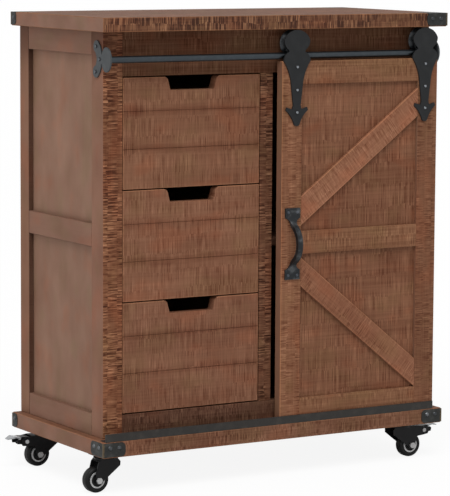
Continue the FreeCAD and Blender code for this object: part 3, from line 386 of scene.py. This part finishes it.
def gunmetal(name, paint, bare, rough=0.5, metal=0.4, wear=0.5, grain=0.004, bright=None):
    """Dull dark paint on steel, faintly pitted, with brighter smudges; bright gives a mask and its colour:
    bare metal, rubbed paint, or a painted highlight on screw and bolt crowns.
    """

    def recipe(place):
        pits = place.mottle((grain / 4, grain / 4, grain / 4), 3, 0.6)
        smudge = place.mottle((grain * 4, grain * 4, grain * 4), 3, 0.6)
        colour = (smudge.ease(-0.05, 0.25) * wear).blend(paint, bare)
        shine = rough + pits * 0.2 - smudge * 0.1
        if bright:
            where, bare_and_highlight = bright
            mask = where(place)
            colour = mask.blend(colour, bare_and_highlight)
            shine = shine - mask * 0.12
        bump = pits.node("Bump", {}, {"Strength": 0.3, "Distance": 0.0003, "Height": pits + smudge * 0.5})
        return {"Base Color": colour, "Metallic": metal, "Roughness": shine, "Normal": bump,
                "Specular IOR Level": 0.2}

    return new_finish(name, recipe)


MASK_EDGE = 0.0002


def beyond(axis, middle, distance):
    """A mask of what lies farther than a distance from a plane across an axis."""

    def where(place):
        parts = place.node("SeparateXYZ", inputs={0: place})
        return abs(parts.other(axis) - middle).ease(distance, distance + MASK_EDGE)

    return where


def corners_of(node, reach):
    """A mask of what lies close to the upright corners of a node's box, where the paint has rubbed brown."""
    low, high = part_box(node)
    middle, half = (low + high) / 2, (high - low) / 2

    def where(place):
        parts = place.node("SeparateXYZ", inputs={0: place})
        aside = half.x - abs(parts - middle.x)
        deep = half.y - abs(parts.other(1) - middle.y)
        blur = place.mottle((0.006, 0.006, 0.006), 2) * 0.004
        return (aside.most(deep) + blur).ease(reach, reach * 0.3) * 0.8

    return where


dress(gunmetal("hanger_paint", tint(32, 33, 34), tint(42, 43, 44), rough=0.6, metal=0.2),
      "left_hanger", "right_hanger")
dress(gunmetal("rail_paint", tint(62, 67, 71), tint(80, 84, 88), rough=0.36, metal=1.0, wear=0.3,
               grain=0.002), "rail_bar")
dress(gunmetal("bracket_paint", tint(66, 69, 71), tint(82, 84, 86)),
      "left_rail_bracket", "right_rail_bracket")
dress(gunmetal("guide_paint", tint(48, 46, 44), tint(66, 62, 58)), "floor_guide")
for irons in ("top_corner_irons", "base_corner_irons"):
    dress(gunmetal(irons + "_paint", tint(42, 43, 42), tint(66, 66, 64), wear=0.8,
                   bright=(corners_of(irons, 0.004), tint(92, 78, 58))), irons)
dress(gunmetal("handle_paint", tint(40, 42, 44), tint(92, 94, 96), rough=0.4, metal=0.6, wear=0.8),
      "door_handle")
# The bolts' crowns stand proud of their flats, before the hangers' faces; their tips are painted pale as a
# highlight.
BOLT_CROWN = 0.0013
WELL_BEHIND = 0.01
hanger_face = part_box("left_hanger")[0].y
bolt_crown_highlight = beyond(1, hanger_face + WELL_BEHIND, WELL_BEHIND + BOLT_CROWN)
dress(gunmetal("bolt_paint_and_highlight", tint(34, 35, 36), tint(60, 62, 64), rough=0.35, metal=0.6,
               bright=(bolt_crown_highlight, tint(124, 128, 132))), "hanger_bolts")
dress(gunmetal("stud_paint", tint(60, 62, 64), tint(118, 121, 124), rough=0.3, metal=0.8, wear=0.9),
      "corner_studs")
# The bracket screws' crowns are painted pale, as a highlight.
SCREW_CROWN = 0.0014
left_end, right_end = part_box("left_rail_bracket")[0].x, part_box("right_rail_bracket")[1].x
screw_crown_highlight = beyond(0, (right_end + left_end) / 2, (right_end - left_end) / 2 + SCREW_CROWN)
dress(gunmetal("screw_paint_and_highlight", tint(34, 34, 36), tint(60, 60, 62), rough=0.35, metal=0.6,
               bright=(screw_crown_highlight, tint(84, 88, 94))), "bracket_screws")
dress(gunmetal("roller_skin", tint(60, 62, 64), tint(120, 122, 124), rough=0.3, metal=0.9),
      "left_roller", "right_roller")

# The casters: pressed forks in gloss black, black tyres with a pale ring on each face, bright nuts
# and bright pressed brake levers.
CASTERS = ("front_left", "front_right", "rear_left", "rear_right")
BRAKED = ("front_right", "rear_left")
ZINC = tint(162, 162, 162)
dress(gunmetal("plate_paint", tint(20, 20, 21), tint(30, 30, 31), rough=0.4, metal=0.2), "caster_plates")


LEG_OUTSIDE = 0.01402
CROWN_UNDERSIDE = 0.0556


def nuts_of(caster):
    """A mask of the nuts and rivets, which stand outside the fork's legs and under its crown."""
    low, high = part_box(caster + "_wheel")
    middle = (low.y + high.y) / 2

    def where(place):
        parts = place.node("SeparateXYZ", inputs={0: place})
        outside = abs(parts.other(1) - middle).ease(LEG_OUTSIDE, LEG_OUTSIDE + 0.00018)
        return outside * parts.other(2).ease(CROWN_UNDERSIDE, CROWN_UNDERSIDE - 0.0004)

    return where


for caster in CASTERS:
    dress(gunmetal(caster + "_fork_paint", tint(15, 15, 16), tint(24, 24, 25), rough=0.35, metal=0.2,
                   bright=(nuts_of(caster), ZINC)), caster + "_fork")


EARS_END = 0.036
EARS_TOP = 0.0515


def leaf_of(caster):
    """A mask of the bare leaf of a brake pedal, beyond the painted ears."""
    wheel_low, wheel_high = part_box(caster + "_wheel")
    axle = (wheel_low + wheel_high) / 2

    def where(place):
        parts = place.node("SeparateXYZ", inputs={0: place})
        reach = abs(parts - axle.x)
        return reach.ease(EARS_END, EARS_END + 0.001) * parts.other(2).ease(EARS_TOP, EARS_TOP + 0.0004)

    return where


for caster in BRAKED:
    dress(gunmetal(caster + "_lever_paint", tint(22, 22, 23), tint(34, 34, 35), rough=0.35, metal=0.5,
                   bright=(leaf_of(caster), tint(150, 152, 154))), caster + "_brake_pedal")


RING_INSIDE, RING_OUTSIDE = 0.0115, 0.0141
RING_EDGE = 0.0003


def tyre_and_ring(wheel):
    """A black tyre, a pale ring on its face and a dark hub, told apart by their distance from the axle."""
    low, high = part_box(wheel)
    centre = (low + high) / 2

    def recipe(place):
        parts = place.node("SeparateXYZ", inputs={0: place})
        aside, up = parts - centre.x, parts.other(2) - centre.z
        radius = (aside * aside + up * up).root()
        inner = radius.ease(RING_INSIDE - RING_EDGE, RING_INSIDE)
        ring = inner * radius.ease(RING_OUTSIDE + RING_EDGE, RING_OUTSIDE)
        colour = ring.blend(tint(16, 16, 16), tint(170, 170, 170))
        dust = place.mottle((0.003, 0.003, 0.003), 3)
        return {"Base Color": colour, "Roughness": 0.45 + dust * 0.3, "Metallic": ring * 0.5,
                "Specular IOR Level": 0.15}

    return new_finish(wheel + "_rubber", recipe)


def finished(shape, name, material, body):
    """A mesh piece on a body, with smooth faces that meet sharply where they turn by more than 30 degrees."""
    shape.normal_update()
    for face in shape.faces:
        face.smooth = True
    for edge in shape.edges:
        edge.smooth = edge.calc_face_angle(0) < math.radians(30)
    mesh = bpy.data.meshes.new(name)
    shape.to_mesh(mesh)
    shape.free()
    mesh.materials.append(material)
    piece = bpy.data.objects.new(name, mesh)
    bpy.context.scene.collection.objects.link(piece)
    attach(piece, body)
    return piece


TURNS = 56
SHOULDER = 0.0045
SHOULDER_STEPS = 6
BORE_RADIUS = 0.0031
HUB_RADIUS = 0.007
HUB_PROUD = 0.0026
HALF_WIDTH = 0.009
# The face from the hub outwards: how far beyond the hub, and how far from the wheel's side.
FACE_STEPS = ((0.0, -0.0012), (0.0032, -0.0018), (0.0038, -0.0006), (0.0068, -0.0004),
              (0.0074, -0.0014), (0.0084, -0.0006))


def wheel_profile(radius):
    """Radius and side of one half of the wheel: hub, dished face, ring, and a tyre with a round shoulder."""
    points = [(BORE_RADIUS, HALF_WIDTH + HUB_PROUD), (HUB_RADIUS, HALF_WIDTH + HUB_PROUD)]
    points += [(HUB_RADIUS + out, HALF_WIDTH + side) for out, side in FACE_STEPS]
    for step in range(SHOULDER_STEPS + 1):
        angle = math.radians(90 * step / SHOULDER_STEPS)
        points.append((radius - SHOULDER + SHOULDER * math.sin(angle),
                       HALF_WIDTH - SHOULDER + SHOULDER * math.cos(angle)))
    return points


for caster in CASTERS:
    wheel = caster + "_wheel"
    low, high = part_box(wheel)
    centre = (low + high) / 2
    half = wheel_profile(high.z - centre.z)
    outline = half + [(radius, -side) for radius, side in reversed(half)]
    shape = bmesh.new()
    rows = []
    for turn in range(TURNS):
        angle = math.tau * turn / TURNS
        rows.append([shape.verts.new((centre.x + radius * math.cos(angle), centre.y + side,
                                      centre.z + radius * math.sin(angle))) for radius, side in outline])
    for here, there in zip(rows, rows[1:] + rows[:1]):
        for point in range(len(outline)):
            after = (point + 1) % len(outline)
            shape.faces.new((here[point], here[after], there[after], there[point]))
    bmesh.ops.recalc_face_normals(shape, faces=shape.faces)
    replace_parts(finished(shape, caster + "_tyre_and_hub", tyre_and_ring(wheel), wheel), wheel)

# Small pan-head screws: two in each end of the pull, and four that hold each caster's plate up to
# the base.
HEAD_STEPS = 16
# Rings of a head from its rim to near its crown: share of the radius, share of the height.
HEAD_RINGS = ((1.0, 0.0), (0.94, 0.45), (0.66, 0.85))


def screw_heads(name, seats, outward, radius, height, material, body):
    """Domed heads on one face; each seat is the middle of a head's underside."""
    spin = outward.to_track_quat("Z", "Y")
    shape = bmesh.new()
    for seat in seats:
        rims = []
        for share, rise in HEAD_RINGS:
            rim = []
            for step in range(HEAD_STEPS):
                angle = math.tau * step / HEAD_STEPS
                point = Vector((radius * share * math.cos(angle), radius * share * math.sin(angle),
                                height * rise))
                rim.append(shape.verts.new(seat + spin @ point))
            rims.append(rim)
        for lower, upper in zip(rims, rims[1:]):
            for step in range(HEAD_STEPS):
                after = (step + 1) % HEAD_STEPS
                shape.faces.new((lower[step], lower[after], upper[after], upper[step]))
        crown = shape.verts.new(seat + spin @ Vector((0, 0, height)))
        for step in range(HEAD_STEPS):
            shape.faces.new((rims[-1][step], rims[-1][(step + 1) % HEAD_STEPS], crown))
        shape.faces.new(list(reversed(rims[0])))
    return finished(shape, name, material, body)


low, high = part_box("door_handle")
PULL_SHEET, PULL_END, PULL_SCREW_APART = 0.0025, 0.0145, 0.018
seats = [Vector(((low.x + high.x) / 2 + side * PULL_SCREW_APART / 2, high.y - PULL_SHEET, z))
         for side in (-1, 1) for z in (low.z + PULL_END / 2, high.z - PULL_END / 2)]
screw_heads("pull_screws", seats, Vector((0, -1, 0)), 0.0028, 0.0013,
            gunmetal("pull_screw_skin", tint(70, 74, 80), tint(120, 124, 130), rough=0.3, metal=0.9), "door")

PLATE_SHEET = 0.0025
PLATE_SCREW_PLACE = 0.0155
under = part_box("caster_plates")[1].z - PLATE_SHEET
seats = []
for joint in frame["joints"]:
    if joint["name"].endswith("_swivel"):
        x, y, _ = joint["pos_m"]
        seats += [Vector((x + across * PLATE_SCREW_PLACE, y + back * PLATE_SCREW_PLACE, under))
                  for across in (-1, 1) for back in (-1, 1)]
screw_heads("plate_screws", seats, Vector((0, 0, -1)), 0.0035, 0.0018,
            gunmetal("plate_screw_skin", tint(120, 122, 124), tint(150, 152, 154), rough=0.35, metal=0.9),
            "cabinet")

# The studio: a pale floor without an edge, a broad soft light from the front and above, and a
# weaker one from the left. The camera sees the surroundings as white.
FLOOR_REACH = 60.0
floor_mesh = bpy.data.meshes.new("floor")
floor_mesh.from_pydata([(-FLOOR_REACH, -FLOOR_REACH, 0), (FLOOR_REACH, -FLOOR_REACH, 0),
                        (FLOOR_REACH, FLOOR_REACH, 0), (-FLOOR_REACH, FLOOR_REACH, 0)], [], [(0, 1, 2, 3)])
floor = bpy.data.objects.new("floor", floor_mesh)
bpy.context.scene.collection.objects.link(floor)
floor_paint = bpy.data.materials.new("floor_paint")
floor_paint.use_nodes = True
floor_shader = floor_paint.node_tree.nodes["Principled BSDF"]
floor_shader.inputs["Base Color"].default_value = tint(244, 244, 244)
floor_shader.inputs["Roughness"].default_value = 0.9
floor_shader.inputs["Specular IOR Level"].default_value = 0.0
white = Wire(floor_shader.outputs[0]).node("Emission", {}, {"Color": (1, 1, 1, 1), "Strength": 1.0})
seen = white.node("LightPath")
FLOOR_GLOW = 0.9
floor_mix = seen.node("MixShader", {}, {0: seen * FLOOR_GLOW, 1: Wire(floor_shader.outputs[0]), 2: white})
floor_paint.node_tree.links.new(floor_mix.socket, floor_paint.node_tree.nodes["Material Output"].inputs[0])
floor_mesh.materials.append(floor_paint)

LAMPS = (("key", (0.28, 0.50, -0.85), 2.05, 35), ("fill", (0.85, 0.35, -0.4), 0.6, 80))
for light_name, aim, strength, softness in LAMPS:
    lamp = bpy.data.lights.new(light_name, "SUN")
    lamp.energy = strength
    lamp.angle = math.radians(softness)
    lamp_object = bpy.data.objects.new(light_name, lamp)
    lamp_object.rotation_euler = Vector(aim).to_track_quat("-Z", "Y").to_euler()
    bpy.context.scene.collection.objects.link(lamp_object)

sky = bpy.data.worlds.new("surroundings")
bpy.context.scene.world = sky
sky.use_nodes = True
glow = sky.node_tree.nodes["Background"]
glow.inputs["Color"].default_value = (1, 1, 1, 1)
ray = Wire(glow.outputs[0]).node("LightPath")
open_air = ray.most(ray.other("Is Glossy Ray")).most(ray.other("Is Transmission Ray"))
AIR_LIGHT = 0.45
sky.node_tree.links.new((open_air * (1 - AIR_LIGHT) + AIR_LIGHT).socket, glow.inputs["Strength"])

# The camera stands to the left of the front and a little above the top, as the photograph was taken.
# Its place is measured from the middle of the top board.
FOCAL_PIXELS = 2700.3
FRAME_HEIGHT = 496
SENSOR = 36.0
YAW, PITCH, ROLL = (math.radians(angle) for angle in (31.067, -6.861, 0.339))
lens = bpy.data.cameras.new("camera")
lens.sensor_width = SENSOR
lens.lens = FOCAL_PIXELS * SENSOR / FRAME_HEIGHT
lens.clip_end = 200.0
camera = bpy.data.objects.new("camera", lens)
ahead = Vector((math.sin(YAW) * math.cos(PITCH), math.cos(YAW) * math.cos(PITCH), math.sin(PITCH)))
level = ahead.cross(Vector((0, 0, 1))).normalized()
upright = level.cross(ahead)
right = level * math.cos(ROLL) + upright * math.sin(ROLL)
above = upright * math.cos(ROLL) - level * math.sin(ROLL)
turn = Matrix((right, above, -ahead)).transposed()
STAND_LEFT, STAND_BEFORE, STAND_HEIGHT = 2.4619, 4.0718, 0.9552
slab_low, slab_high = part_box("top_board")
slab_middle = (slab_low + slab_high) / 2
stand = Vector((slab_middle.x - STAND_LEFT, slab_middle.y - STAND_BEFORE, STAND_HEIGHT))
camera.matrix_world = Matrix.Translation(stand) @ turn.to_4x4()
bpy.context.scene.collection.objects.link(camera)
bpy.context.scene.camera = camera
bpy.context.scene.view_settings.view_transform = "Standard"
